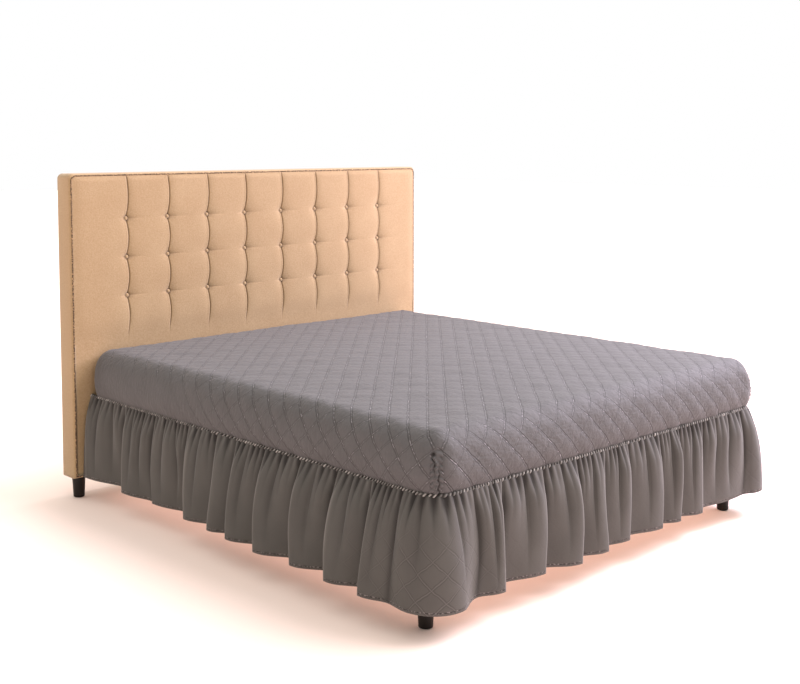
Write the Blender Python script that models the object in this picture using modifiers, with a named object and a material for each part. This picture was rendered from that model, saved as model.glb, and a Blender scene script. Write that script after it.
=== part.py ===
"""Quilted bed skirt with a gathered ruffle, on the plain bed that it fits.

Metres, Z up, the head of the bed at +Y. The origin is on the floor under the
middle of the whole bed. The skirt is two sewn pieces: a quilted cover over the
mattress, and a ruffle gathered onto the cover's lower edge on three sides.
"""

import math

import bmesh
import bpy
from mathutils import Vector

# The gather seam is the line that the cover's edge and the ruffle share
SEAM_WIDTH = 1.79
SEAM_LENGTH = 2.00
SEAM_Z = 0.432
FOOT_Y = -1.02
HEAD_Y = FOOT_Y + SEAM_LENGTH

# Quilted cover
COVER_TOP_Z = 0.622
COVER_THICKNESS = 0.004
COVER_RADIUS = 0.065
COVER_BULGE = 0.020
COVER_CROWN = 0.010
CROWN_SPREAD = 1.3
HEAD_CLEARANCE = 0.002

# Ruffle: the folds open out towards the hem
HEM_Z = 0.096
RUFFLE_THICKNESS = 0.002
RUFFLE_END_GAP = 0.004
RUFFLE_FLARE_POWER = 1.7
RUFFLE_COLUMNS = 300
RUFFLE_ROWS = 4
HEM_WAVE = 0.003
HEM_WAVE_LENGTH = 0.71

# Mattress and base
MATTRESS_BOTTOM_Z = 0.42
MATTRESS_SIDE_INSET = 0.007
BASE_WIDTH = 1.76
BASE_FOOT_INSET = 0.02
BASE_BOTTOM_Z = 0.10
BASE_EDGE = 0.008

# Headboard
HEADBOARD_WIDTH = 1.964
HEADBOARD_THICKNESS = 0.107
HEADBOARD_BOTTOM_Z = 0.092
HEADBOARD_TOP_Z = 1.352
HEADBOARD_EDGE = 0.018

# Legs: round, tapering down to the floor
LEG_TOP_RADIUS = 0.0275
LEG_FOOT_RADIUS = 0.023
LEG_SIDES = 20
BASE_LEG_X = 0.849
BASE_LEG_FROM_FOOT = 0.09
HEAD_LEG_X = 0.936

# Touching pieces stand this far apart
TOUCH = 0.0003

# One row for each fold of the ruffle. "along" runs round the bed from the head
# end of the left side, "crest" is how far the fold's crest stands out from the
# seam line at the hem, and "valley" how far the dip after it does.
FOLDS = (
    # along, crest, valley
    (0.030, 0.046, 0.010),
    (0.307, 0.046, 0.012),
    (0.505, 0.033, 0.006),
    (0.763, 0.059, 0.020),
    (0.927, 0.072, 0.028),
    (1.049, 0.078, 0.026),
    (1.217, 0.084, 0.022),
    (1.411, 0.082, 0.020),
    (1.604, 0.096, 0.030),
    (1.761, 0.097, 0.044),
    (1.890, 0.076, 0.058),
    (1.990, 0.070, 0.012),
    (2.219, 0.058, 0.000),
    (2.431, 0.044, 0.001),
    (2.600, 0.059, 0.010),
    (2.764, 0.050, 0.014),
    (2.902, 0.038, 0.008),
    (3.090, 0.046, 0.010),
    (3.214, 0.040, 0.004),
    (3.366, 0.038, 0.002),
    (3.560, 0.034, 0.016),
    (3.748, 0.052, 0.022),
    (3.905, 0.070, 0.034),
    (4.060, 0.082, 0.026),
    (4.215, 0.076, 0.022),
    (4.400, 0.080, 0.018),
    (4.565, 0.068, 0.020),
    (4.755, 0.074, 0.014),
    (4.900, 0.060, 0.016),
    (5.085, 0.066, 0.010),
    (5.270, 0.048, 0.012),
    (5.455, 0.052, 0.008),
    (5.640, 0.044, 0.012),
)

COVER_COLOUR = "#8C8588"
RUFFLE_COLOUR = "#77716E"
MATTRESS_COLOUR = "#E4E0DA"
BASE_COLOUR = "#A98A68"
HEADBOARD_COLOUR = "#CFA57C"
LEG_COLOUR = "#1B1512"


def linear(channel):
    """One sRGB channel, 0 to 1, as linear light."""
    if channel <= 0.04045:
        return channel / 12.92
    return ((channel + 0.055) / 1.055) ** 2.4


def make_material(name, colour, roughness):
    material = bpy.data.materials.new(name)
    material.use_nodes = True
    shader = material.node_tree.nodes["Principled BSDF"]
    parts = [int(colour[i : i + 2], 16) / 255 for i in (1, 3, 5)]
    shader.inputs["Base Color"].default_value = (*map(linear, parts), 1.0)
    shader.inputs["Roughness"].default_value = roughness
    shader.inputs["Metallic"].default_value = 0.0
    return material


def add_object(name, bm, material, collection):
    """Turns the bmesh into a named object in the collection."""
    mesh = bpy.data.meshes.new(name)
    bm.to_mesh(mesh)
    bm.free()
    mesh.materials.append(material)
    obj = bpy.data.objects.new(name, mesh)
    collection.objects.link(obj)
    return obj


def box_mesh(low, high):
    """A cube stretched between two corners."""
    bm = bmesh.new()
    bmesh.ops.create_cube(bm, size=1.0)
    for vert in bm.verts:
        vert.co = [a + (c + 0.5) * (b - a) for a, b, c in zip(low, high, vert.co)]
    return bm


def round_edges(obj, width, segments):
    bevel = obj.modifiers.new("Edges", "BEVEL")
    bevel.width = width
    bevel.segments = segments
    bevel.limit_method = "ANGLE"


def ticks(low, high, radius, round_low, round_high, round_steps, middle_steps):
    """Cuts between low and high: equal angles where an end is rounded, equal steps between."""
    angles = [math.radians(45 * (i + 1) / round_steps) for i in range(round_steps)]
    turns = [radius * math.tan(a) for a in angles]
    start = low + radius if round_low else low
    end = high - radius if round_high else high
    middle = [start + (end - start) * i / middle_steps for i in range(middle_steps + 1)]
    before = [start - t for t in reversed(turns)] if round_low else []
    after = [end + t for t in turns] if round_high else []
    return before + middle + after


def cut_at_ticks(bm, axis, cuts):
    for cut in cuts[1:-1]:
        point, normal = Vector(), Vector()
        point[axis] = cut
        normal[axis] = 1.0
        bmesh.ops.bisect_plane(
            bm,
            geom=bm.verts[:] + bm.edges[:] + bm.faces[:],
            dist=1e-6,
            plane_co=point,
            plane_no=normal,
        )


def bedding_mesh(side_inset, top_inset, bottom_z, corner_radius):
    """A soft block: rounded over its top edges and upright corners, its sides swelling above the seam.

    The head side stays flat, because it is pressed against the headboard.
    """
    half_x = SEAM_WIDTH / 2 - side_inset
    foot, head = FOOT_Y + side_inset, HEAD_Y - HEAD_CLEARANCE - side_inset
    top_z = COVER_TOP_Z - top_inset
    middle_y, half_y = (foot + head) / 2, (head - foot) / 2
    bm = box_mesh((-half_x, foot, bottom_z), (half_x, head, top_z))
    cut_at_ticks(bm, 0, ticks(-half_x, half_x, corner_radius, True, True, 2, 6))
    cut_at_ticks(bm, 1, ticks(foot, head, corner_radius, True, True, 2, 7))
    upright = ticks(SEAM_Z, top_z, corner_radius, False, True, 2, 5)
    cut_at_ticks(bm, 2, [bottom_z] * (bottom_z < SEAM_Z) + upright)
    for vert in bm.verts:
        # The nearest point of the inner block that the rounding is swept about
        core = Vector(
            (
                max(-half_x + corner_radius, min(half_x - corner_radius, vert.co.x)),
                max(foot + corner_radius, min(head - corner_radius, vert.co.y)),
                min(top_z - corner_radius, vert.co.z),
            )
        )
        outward = vert.co - core
        if outward.length < 1e-6:
            # A point of the flat underside
            continue
        outward.normalize()
        vert.co = core + outward * corner_radius
        rise = (vert.co.z - SEAM_Z) / (COVER_TOP_Z - SEAM_Z)
        if 0 < rise < 1:
            # One at a third of the way up, none at the seam or the top
            swell = 6.75 * rise * (1 - rise) ** 2
            free = 1 - max(0.0, outward.y)
            vert.co.xy += outward.xy * COVER_BULGE * swell * free
        if outward.z > 0:
            across = 1 - (vert.co.x / half_x) ** 2
            along = 1 - ((vert.co.y - middle_y) / half_y) ** 2
            # Flat in the middle, where across times along is near one
            crown = max(0.0, min(1.0, CROWN_SPREAD * across * along))
            vert.co.z += COVER_CROWN * outward.z * crown
    return bm


def add_cover(material, collection):
    bm = bedding_mesh(0.0, 0.0, SEAM_Z, COVER_RADIUS)
    below = [f for f in bm.faces if f.normal.z < -0.9]
    bmesh.ops.delete(bm, geom=below, context="FACES")
    cover = add_object("quilted_cover", bm, material, collection)
    sheet = cover.modifiers.new("Sheet", "SOLIDIFY")
    sheet.thickness = COVER_THICKNESS
    sheet.offset = -1.0
    sheet.use_even_offset = True


def seam_place(along):
    """The point at this distance along the three-sided seam line, and the direction out from the bed."""
    half_x = SEAM_WIDTH / 2
    side = SEAM_LENGTH - COVER_RADIUS - RUFFLE_END_GAP
    arc = COVER_RADIUS * math.pi / 2
    foot = SEAM_WIDTH - 2 * COVER_RADIUS
    # The right half of the line mirrors the left half
    total = 2 * side + 2 * arc + foot
    mirror = -1 if along > total / 2 else 1
    left = total - along if along > total / 2 else along
    if left < side:
        x, y, nx, ny = -half_x, HEAD_Y - RUFFLE_END_GAP - left, -1.0, 0.0
    elif left < side + arc:
        turn = (left - side) / COVER_RADIUS
        nx, ny = -math.cos(turn), -math.sin(turn)
        x = -half_x + COVER_RADIUS + COVER_RADIUS * nx
        y = FOOT_Y + COVER_RADIUS + COVER_RADIUS * ny
    else:
        x, y = -half_x + COVER_RADIUS + left - side - arc, FOOT_Y
        nx, ny = 0.0, -1.0
    return mirror * x, y, mirror * nx, ny


def seam_run():
    """The length of the three-sided seam line."""
    side = SEAM_LENGTH - COVER_RADIUS - RUFFLE_END_GAP
    return 2 * side + math.pi * COVER_RADIUS + SEAM_WIDTH - 2 * COVER_RADIUS


def hem_reach(along):
    """How far the hem stands out from the seam line here, easing from crest to valley to crest."""
    knots = []
    for (here, crest, valley), (after, _, _) in zip(FOLDS, FOLDS[1:]):
        knots += [(here, crest), ((here + after) / 2, valley)]
    knots.append(FOLDS[-1][:2])
    if along <= knots[0][0]:
        return knots[0][1]
    for (a, low), (b, high) in zip(knots, knots[1:]):
        if along < b:
            return low + (high - low) * (0.5 - 0.5 * math.cos(math.pi * (along - a) / (b - a)))
    return knots[-1][1]


def add_ruffle(material, collection):
    """A flat grid hung from the seam line, then given its thickness."""
    bm = bmesh.new()
    bmesh.ops.create_grid(bm, x_segments=RUFFLE_COLUMNS, y_segments=RUFFLE_ROWS, size=0.5)
    run = seam_run()
    for vert in bm.verts:
        along = (vert.co.x + 0.5) * run
        # More rows near the seam, where the cloth turns outward
        down = (0.5 - vert.co.y) ** 1.3
        x, y, nx, ny = seam_place(along)
        reach = hem_reach(along) * (1 - (1 - down) ** RUFFLE_FLARE_POWER)
        hem = HEM_Z + HEM_WAVE * math.sin(2 * math.pi * along / HEM_WAVE_LENGTH)
        top = SEAM_Z - TOUCH
        vert.co = (x + nx * reach, y + ny * reach, top + (hem - top) * down)
    ruffle = add_object("gathered_ruffle", bm, material, collection)
    sheet = ruffle.modifiers.new("Sheet", "SOLIDIFY")
    sheet.thickness = RUFFLE_THICKNESS
    sheet.offset = 0.0


def add_mattress(material, collection):
    bm = bedding_mesh(
        MATTRESS_SIDE_INSET,
        COVER_THICKNESS + TOUCH,
        MATTRESS_BOTTOM_Z,
        COVER_RADIUS - COVER_THICKNESS - TOUCH,
    )
    add_object("mattress", bm, material, collection)


def add_base(material, collection):
    bm = box_mesh(
        (-BASE_WIDTH / 2, FOOT_Y + BASE_FOOT_INSET, BASE_BOTTOM_Z),
        (BASE_WIDTH / 2, HEAD_Y - TOUCH, MATTRESS_BOTTOM_Z - TOUCH),
    )
    round_edges(add_object("bed_base", bm, material, collection), BASE_EDGE, 2)


def add_headboard(material, collection):
    bm = box_mesh(
        (-HEADBOARD_WIDTH / 2, HEAD_Y, HEADBOARD_BOTTOM_Z),
        (HEADBOARD_WIDTH / 2, HEAD_Y + HEADBOARD_THICKNESS, HEADBOARD_TOP_Z),
    )
    round_edges(add_object("headboard", bm, material, collection), HEADBOARD_EDGE, 3)


def add_leg(name, x, y, top_z, material, collection):
    bm = bmesh.new()
    bmesh.ops.create_cone(
        bm,
        cap_ends=True,
        segments=LEG_SIDES,
        radius1=LEG_FOOT_RADIUS,
        radius2=LEG_TOP_RADIUS,
        depth=top_z,
    )
    leg = add_object(name, bm, material, collection)
    leg.location = (x, y, top_z / 2)
    leg.data.shade_smooth()
    leg.data.set_sharp_from_angle(angle=math.radians(40))


def add_legs(material, collection):
    foot_y = FOOT_Y + BASE_LEG_FROM_FOOT
    head_y = HEAD_Y + HEADBOARD_THICKNESS / 2
    for side, sign in (("left", -1), ("right", 1)):
        add_leg(
            f"leg_foot_{side}", sign * BASE_LEG_X, foot_y, BASE_BOTTOM_Z - TOUCH, material, collection
        )
        add_leg(
            f"leg_head_{side}", sign * HEAD_LEG_X, head_y, HEADBOARD_BOTTOM_Z - TOUCH, material, collection
        )


def main():
    for obj in list(bpy.data.objects):
        bpy.data.objects.remove(obj)
    collection = bpy.data.collections.new("bed_skirt_on_bed")
    bpy.context.scene.collection.children.link(collection)
    add_cover(make_material("quilted_cloth", COVER_COLOUR, 0.85), collection)
    add_ruffle(make_material("ruffle_cloth", RUFFLE_COLOUR, 0.9), collection)
    add_mattress(make_material("mattress_ticking", MATTRESS_COLOUR, 0.9), collection)
    add_base(make_material("base_cloth", BASE_COLOUR, 0.9), collection)
    add_headboard(make_material("headboard_cloth", HEADBOARD_COLOUR, 0.75), collection)
    add_legs(make_material("black_plastic", LEG_COLOUR, 0.4), collection)


main()
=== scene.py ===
import math

import bmesh
import bpy
import numpy as np
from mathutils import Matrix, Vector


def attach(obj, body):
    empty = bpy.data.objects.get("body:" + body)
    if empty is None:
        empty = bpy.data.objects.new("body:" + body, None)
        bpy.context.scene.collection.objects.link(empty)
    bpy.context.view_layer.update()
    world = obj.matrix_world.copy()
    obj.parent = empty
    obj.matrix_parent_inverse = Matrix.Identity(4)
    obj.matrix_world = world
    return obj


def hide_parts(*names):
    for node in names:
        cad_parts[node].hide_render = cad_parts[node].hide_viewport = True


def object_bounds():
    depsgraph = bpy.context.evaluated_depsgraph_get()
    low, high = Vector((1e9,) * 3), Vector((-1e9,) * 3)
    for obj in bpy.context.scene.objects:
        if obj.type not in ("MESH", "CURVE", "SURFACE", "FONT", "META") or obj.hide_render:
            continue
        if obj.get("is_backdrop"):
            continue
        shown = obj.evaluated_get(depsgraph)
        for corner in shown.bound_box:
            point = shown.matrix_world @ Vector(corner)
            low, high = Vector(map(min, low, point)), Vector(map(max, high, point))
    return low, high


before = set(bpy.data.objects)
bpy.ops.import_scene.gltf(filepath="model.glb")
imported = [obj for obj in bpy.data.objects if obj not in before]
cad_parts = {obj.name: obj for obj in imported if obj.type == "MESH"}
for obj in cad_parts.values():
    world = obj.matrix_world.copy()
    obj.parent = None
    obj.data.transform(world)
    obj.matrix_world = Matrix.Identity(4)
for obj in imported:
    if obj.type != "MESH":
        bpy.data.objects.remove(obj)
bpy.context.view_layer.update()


# Legs
# Four round legs of moulded black plastic, tapering towards the floor. Each is screwed up into
# the wood of the base or of the headboard, and stands on a thin glide pad.

LEG_TOP_RADIUS = 0.0275
LEG_FOOT_RADIUS = 0.023
LEG_ROUNDING = 0.003
GLIDE_RADIUS, GLIDE_HEIGHT = 0.017, 0.002
LEG_SIDES = 40
BASE_LEGS = ((-0.849, -0.930), (0.849, -0.930))
BASE_LEG_TOP = 0.0997
HEADBOARD_LEGS = ((-0.936, 1.0335), (0.936, 1.0335))
HEADBOARD_LEG_TOP = 0.0917


def add_object(name, data):
    """An object at the origin that holds this mesh, light or camera."""
    made = bpy.data.objects.new(name, data)
    bpy.context.scene.collection.objects.link(made)
    return made


def add_piece(name, points, faces, face_uv=None, marks=None):
    """A smooth mesh object at the origin. face_uv has one pair for each corner of each face, and
    marks are named numbers, one for each point."""
    mesh = bpy.data.meshes.new(name)
    mesh.from_pydata(points.tolist(), [], faces.tolist())
    if face_uv is not None:
        layer = mesh.uv_layers.new(name="cloth")
        layer.data.foreach_set("uv", np.asarray(face_uv, np.float32).ravel())
    for mark, numbers in (marks or {}).items():
        layer = mesh.attributes.new(mark, "FLOAT", "POINT")
        layer.data.foreach_set("value", np.asarray(numbers, np.float32).ravel())
    piece = add_object(name, mesh)
    form = bmesh.new()
    form.from_mesh(mesh)
    bmesh.ops.remove_doubles(form, verts=form.verts, dist=1e-5)
    form.to_mesh(mesh)
    form.free()
    mesh.shade_smooth()
    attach(piece, "root")
    return piece


def grid_faces(rows, columns, closed=False):
    """The quads of a grid of points stored row by row. closed joins the last column to the first."""
    across = np.arange(columns if closed else columns - 1)
    row = np.arange(rows - 1)[:, None] * columns
    left = (row + across).ravel()
    right = (row + (across + 1) % columns).ravel()
    return np.stack([left, left + columns, right + columns, right], 1)


def turned(places, profile, sides):
    """Round pieces, one at each place: the profile's (radius, height) rows carried once round an
    upright axis."""
    turn = np.arange(sides) * 2 * np.pi / sides
    radius, height = np.array(profile).T[..., None]
    one = np.stack([radius * np.cos(turn), radius * np.sin(turn), height + 0 * turn], -1).reshape(-1, 3)
    faces = grid_faces(len(profile), sides, closed=True)[:, ::-1]
    shift = np.array([(x, y, 0.0) for x, y in places])
    points = (one + shift[:, None]).reshape(-1, 3)
    return points, (faces + np.arange(len(places))[:, None, None] * len(one)).reshape(-1, 4)


def leg_profile(top):
    """From the middle of the top, down the taper, round the lower edge to the glide pad."""
    taper = LEG_FOOT_RADIUS - LEG_TOP_RADIUS
    edge = GLIDE_HEIGHT + LEG_ROUNDING
    rows = [(0.0, top), (LEG_TOP_RADIUS - 0.001, top), (LEG_TOP_RADIUS, top - 0.001)]
    rows += [(LEG_TOP_RADIUS + taper * t, top + (edge - top) * t) for t in (0.33, 0.66, 1)]
    for bend in np.linspace(0, math.pi / 2, 5)[1:]:
        radius = LEG_FOOT_RADIUS - LEG_ROUNDING * (1 - math.cos(bend))
        rows.append((radius, edge - LEG_ROUNDING * math.sin(bend)))
    return rows + [(GLIDE_RADIUS, GLIDE_HEIGHT), (GLIDE_RADIUS, 0.0), (0.0, 0.0)]


def colour(code):
    """An sRGB hex colour as linear red, green, blue and alpha."""
    parts = np.array([int(code[i : i + 2], 16) / 255 for i in (1, 3, 5)])
    light = np.where(parts <= 0.04045, parts / 12.92, ((parts + 0.055) / 1.055) ** 2.4)
    return (*light.tolist(), 1.0)


def fill_sockets(node, inputs):
    """What goes into each named socket is a number, a hex colour, another socket, or a node,
    which stands for its first output in use."""
    for key, value in inputs.items():
        if isinstance(value, str):
            value = colour(value)
        if isinstance(value, bpy.types.Node):
            value = next(socket for socket in value.outputs if socket.enabled)
        if isinstance(value, bpy.types.NodeSocket):
            node.id_data.links.new(value, node.inputs[key])
        else:
            node.inputs[key].default_value = value


def add_node(tree, kind, inputs=None, **settings):
    """One shader node, with its settings and what goes into its sockets."""
    made = tree.nodes.new("ShaderNode" + kind)
    for key, value in settings.items():
        setattr(made, key, value)
    fill_sockets(made, inputs or {})
    return made


def new_finish(name):
    """An empty material, with its tree and its shader."""
    material = bpy.data.materials.new(name)
    material.use_nodes = True
    return material, material.node_tree, material.node_tree.nodes["Principled BSDF"]


# Moulded plastic: black with a satin gloss, and a fine leathery grain from the mould
black_plastic, tree, shader = new_finish("moulded_black_plastic")
place = add_node(tree, "TexCoord").outputs["Object"]
grain = add_node(tree, "TexNoise", {"Vector": place, "Scale": 900.0, "Detail": 3.0})
wear = add_node(tree, "TexNoise", {"Vector": place, "Scale": 45.0, "Detail": 4.0})
tone = add_node(tree, "Mix", {"Factor": wear, "A": "#0D0A08", "B": "#1C1410"}, data_type="RGBA")
bump = add_node(tree, "Bump", {"Height": grain, "Strength": 0.25, "Distance": 0.0004})
fill_sockets(shader, {"Base Color": tone, "Normal": bump, "Roughness": 0.42, "Specular IOR Level": 0.25})

base_legs = add_piece("base_legs", *turned(BASE_LEGS, leg_profile(BASE_LEG_TOP), LEG_SIDES))
base_legs.data.materials.append(black_plastic)
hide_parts("leg_foot_left", "leg_foot_right")

head_leg_form = turned(HEADBOARD_LEGS, leg_profile(HEADBOARD_LEG_TOP), LEG_SIDES)
headboard_legs = add_piece("headboard_legs", *head_leg_form)
headboard_legs.data.materials.append(black_plastic)
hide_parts("leg_head_left", "leg_head_right")


# Bed base
# A wooden box frame covered in plain woven tan cloth, stapled underneath. The skirt hides its
# sides, so it shows only from below.

# Plain weave: threads 1.2 mm apart, drawn at 3 mm so that they show
base_cloth, tree, shader = new_finish("woven_base_cloth")
place = add_node(tree, "TexCoord").outputs["Object"]
waves = {"Vector": place, "Scale": 105.0, "Distortion": 0.6}
across, along = [add_node(tree, "TexWave", waves, bands_direction=way) for way in "XY"]
weave = add_node(tree, "Math", {0: across.outputs["Fac"], 1: along.outputs["Fac"]}, operation="MULTIPLY")
patches = add_node(tree, "TexNoise", {"Vector": place, "Scale": 14.0, "Detail": 5.0})
tone = add_node(tree, "Mix", {"Factor": patches, "A": "#9C7F5E", "B": "#B59571"}, data_type="RGBA")
bump = add_node(tree, "Bump", {"Height": weave, "Strength": 0.5, "Distance": 0.0008})
fill_sockets(shader, {"Base Color": tone, "Normal": bump, "Roughness": 0.9, "Sheen Weight": 0.2})
bed_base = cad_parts["bed_base"]
for slot in bed_base.material_slots:
    slot.material = base_cloth


# Mattress
# A thick foam block in knitted white ticking, soft at its edges and a little swollen at the
# sides. It lies on the base inside the cover, and only its underside shows.

SEAM_HALF_WIDTH = 0.895
SEAM_Z = 0.432
FOOT_Y = -1.02
HEAD_Y = 0.978
TOP_Z = 0.622
SIDE_SWELL = 0.020
CROWN = 0.010
MATTRESS_BOTTOM_Z = 0.42


def down_the_side(length, rounding, top_z):
    """The side's profile at each length of cloth from the deck's edge: the tilt, which grows to a
    quarter turn over the rounding, the height, and how far the soft side swells out."""
    tilt = np.minimum(length / rounding, np.pi / 2)
    height = top_z - rounding * (1 - np.cos(tilt)) - np.maximum(length - rounding * np.pi / 2, 0)
    rise = np.clip((height - SEAM_Z) / (TOP_Z - SEAM_Z), 0, 1)
    return tilt, height, 6.75 * rise * (1 - rise) ** 2 * SIDE_SWELL * np.sin(tilt)


def soft_block(inset, drop_top, rounding, bottom_z, steps_x, steps_y, row_step, fan):
    """Upper part of a soft block, from a flat deck grid with a closed ring round it. The ring
    goes out from the deck's edge over a quarter round and down the side. A point's place is the
    deck edge's, plus the outward direction times the reach. At each deck corner the ring fans
    out over a quarter turn, with fan columns to each side of the corner seam.

    Returns the points, the outward directions, the quads, the quads' flat cloth places, each
    point's own flat cloth place, each point's part (0 deck, 1 foot, 2 right, 3 head, 4 left), its
    distance from a corner seam, and the number of points once round the ring."""
    half_x = SEAM_HALF_WIDTH - inset
    foot = FOOT_Y + inset
    head = HEAD_Y - inset
    top_z = TOP_Z - drop_top
    deck_x = np.linspace(-half_x + rounding, half_x - rounding, steps_x + 1)
    deck_y = np.linspace(foot + rounding, head - rounding, steps_y + 1)
    step = (deck_x[1] - deck_x[0] + deck_y[1] - deck_y[0]) / 2
    mid_y, half_y = (foot + head) / 2, (head - foot) / 2

    def crown_at(x, y):
        share = (1 - (x / half_x) ** 2) * (1 - ((y - mid_y) / half_y) ** 2)
        return CROWN * np.clip(1.3 * share, 0, 1)

    grid_y, grid_x = np.meshgrid(deck_y, deck_x, indexing="ij")
    deck = np.stack([grid_x, grid_y, top_z + crown_at(grid_x, grid_y)], -1).reshape(-1, 3)
    row, column = np.meshgrid(np.arange(steps_y + 1), np.arange(steps_x + 1), indexing="ij")
    deck_flat = np.stack([column, row], -1).reshape(-1, 2) * step
    deck_faces = grid_faces(steps_y + 1, steps_x + 1)[:, ::-1]

    # Columns of the ring, anticlockwise from the left end of the foot side: grid place and turn
    corner = np.arange(1, 2 * fan) * np.pi / (4 * fan)
    over_x, over_y = np.arange(steps_x + 1), np.arange(steps_y + 1)
    sides = (
        (over_x, 0 * over_x), (0 * over_y + steps_x, over_y),
        (over_x[::-1], 0 * over_x + steps_y), (0 * over_y, over_y[::-1]),
    )
    columns, panels = [], []
    for number, (column, row) in enumerate(sides):
        side = np.column_stack([column, row, np.full(len(row), (number - 1) * np.pi / 2)])
        bend = np.column_stack([np.full((len(corner), 2), side[-1, :2]), side[-1, 2] + corner])
        columns += [side, bend]
        # The panel of the strip that follows each column
        panels += [np.full(len(side) + fan - 1, number), np.full(fan, (number + 1) % 4)]
    columns = np.concatenate(columns)
    panels = np.concatenate(panels)
    count = len(columns)
    core = np.stack([deck_x[columns[:, 0].astype(int)], deck_y[columns[:, 1].astype(int)]], 1)
    outward = np.stack([np.cos(columns[:, 2]), np.sin(columns[:, 2])], 1)

    # Rows of the ring, by the cloth's own length from the deck's edge
    length = rounding * np.pi / 2 + top_z - rounding - bottom_z
    run = np.append(np.arange(0, length - row_step * 0.3, row_step), length)
    tilt, height, swell = (a[:, None] for a in down_the_side(run, rounding, top_z))
    reach = rounding * np.sin(tilt) + swell * (1 - np.maximum(outward[:, 1] * np.sin(tilt), 0))
    ring = np.empty((len(run), count, 3))
    ring[..., :2] = core + outward * reach[..., None]
    ring[..., 2] = height + np.cos(tilt) * crown_at(ring[..., 0], ring[..., 1])
    facing = np.empty_like(ring)
    facing[..., :2] = outward * np.sin(tilt)[..., None]
    facing[..., 2] = np.cos(tilt)

    def flat_place(which, panel):
        """Flat cloth place of ring columns, seen from a panel: the deck edge's place, plus the
        length down along the panel, plus the turn about the corner times the reach."""
        turn_from = panel * np.pi / 2 - np.pi / 2
        normal = np.stack([np.cos(turn_from), np.sin(turn_from)], 1)
        tangent = np.stack([-normal[:, 1], normal[:, 0]], 1)
        bend = (columns[which, 2] - turn_from + np.pi) % (2 * np.pi) - np.pi
        start = columns[which, :2] * step
        return start + run[:, None, None] * normal + (bend * reach[:, which])[..., None] * tangent

    after = (np.arange(count) + 1) % count
    near, far = flat_place(np.arange(count), panels), flat_place(after, panels)
    ring_flat = np.stack([near[:-1], near[1:], far[1:], far[:-1]], 2).reshape(-1, 4, 2)
    ring_faces = grid_faces(len(run), count, closed=True)

    points = np.concatenate([deck, ring.reshape(-1, 3)])
    facings = np.concatenate([np.tile([0.0, 0.0, 1.0], (len(deck), 1)), facing.reshape(-1, 3)])
    faces = np.concatenate([deck_faces, ring_faces + len(deck)])
    face_flat = np.concatenate([deck_flat[deck_faces], ring_flat])
    point_flat = np.concatenate([deck_flat, near.reshape(-1, 2)])
    part = np.concatenate([np.zeros(len(deck)), np.tile(panels + 1, len(run))])
    bend = np.abs(columns[:, 2] % (np.pi / 2) - np.pi / 4)
    straight = np.isclose(columns[:, 2] % (np.pi / 2), 0)
    off_seam = np.where(straight, 1.0, bend * reach)
    off_seam = np.concatenate([np.ones(len(deck)), off_seam.ravel()])
    return points, facings, faces, face_flat, point_flat, part, off_seam, count


# Knitted ticking: soft off-white polyester with small raised diamonds, 30 mm apart
ticking, tree, shader = new_finish("knitted_ticking")
place = add_node(tree, "TexCoord").outputs["Object"]
turned_place = add_node(tree, "Mapping", {"Vector": place, "Rotation": (0.0, 0.0, math.pi / 4)})
waves = {"Vector": turned_place, "Scale": 10.5}
first, second = [add_node(tree, "TexWave", waves, bands_direction=way) for way in "XY"]
raised = add_node(tree, "Math", {0: first.outputs["Fac"], 1: second.outputs["Fac"]}, operation="MULTIPLY")
tone = add_node(tree, "Mix", {"Factor": raised, "A": "#D8D3CB", "B": "#EFEBE4"}, data_type="RGBA")
bump = add_node(tree, "Bump", {"Height": raised, "Strength": 0.6, "Distance": 0.002})
fill_sockets(shader, {"Base Color": tone, "Normal": bump, "Roughness": 0.85, "Sheen Weight": 0.25})

points, _, faces, face_flat, _, _, _, ring_count = soft_block(
    inset=0.007, drop_top=0.0043, rounding=0.0607, bottom_z=MATTRESS_BOTTOM_Z,
    steps_x=44, steps_y=50, row_step=0.02, fan=5,
)
# The underside is the rim drawn in row by row to its middle, which the last row closes
rim = points[-ring_count:]
middle = np.array([0.0, (FOOT_Y + HEAD_Y) / 2, MATTRESS_BOTTOM_Z])
inner = np.concatenate([middle + (rim - middle) * share for share in (0.985, 0.5, 0.0)])
under_faces = grid_faces(4, ring_count, closed=True) + len(points) - ring_count
points = np.concatenate([points, inner])
mattress_flat = np.concatenate([face_flat, points[under_faces][..., :2]])
mattress = add_piece("mattress_block", points, np.concatenate([faces, under_faces]), mattress_flat)
mattress.data.materials.append(ticking)
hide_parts("mattress")


# Headboard
# A wooden panel padded with foam and covered in tan woven cloth. The front is tufted in squares
# by rows of buttons pulled into the foam, with pleats folded in from the top edge down.

BOARD_HALF_WIDTH = 0.982
BOARD_FRONT = 0.98
BOARD_DEPTH = 0.107
BOARD_BOTTOM = 0.092
BOARD_TOP = 1.352
BOARD_MIDDLE_Z = (BOARD_BOTTOM + BOARD_TOP) / 2
BOARD_CORNER = 0.022
BOARD_EDGE = 0.012
BUTTONS_X = np.array([-0.72, -0.516, -0.311, -0.105, 0.105, 0.311, 0.516, 0.72])
BUTTONS_Z = np.array([1.16, 0.997, 0.834])
PLEAT_BOW = 0.010


def fade(value, start, end):
    """Smooth step from 0 at start to 1 at end."""
    t = np.clip((value - start) / (end - start), 0, 1)
    return t * t * (3 - 2 * t)


def hump(off, width, power=2):
    """A soft hump, 1 at 0: e to the minus (off over width) to the power. A higher power gives it a
    flatter top."""
    return np.exp(-((off / width) ** power))


def nearest(values, marks):
    """Signed distance from each value to the mark that is nearest to it."""
    off = values[..., None] - marks
    return np.take_along_axis(off, np.abs(off).argmin(-1)[..., None], -1)[..., 0]


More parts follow.
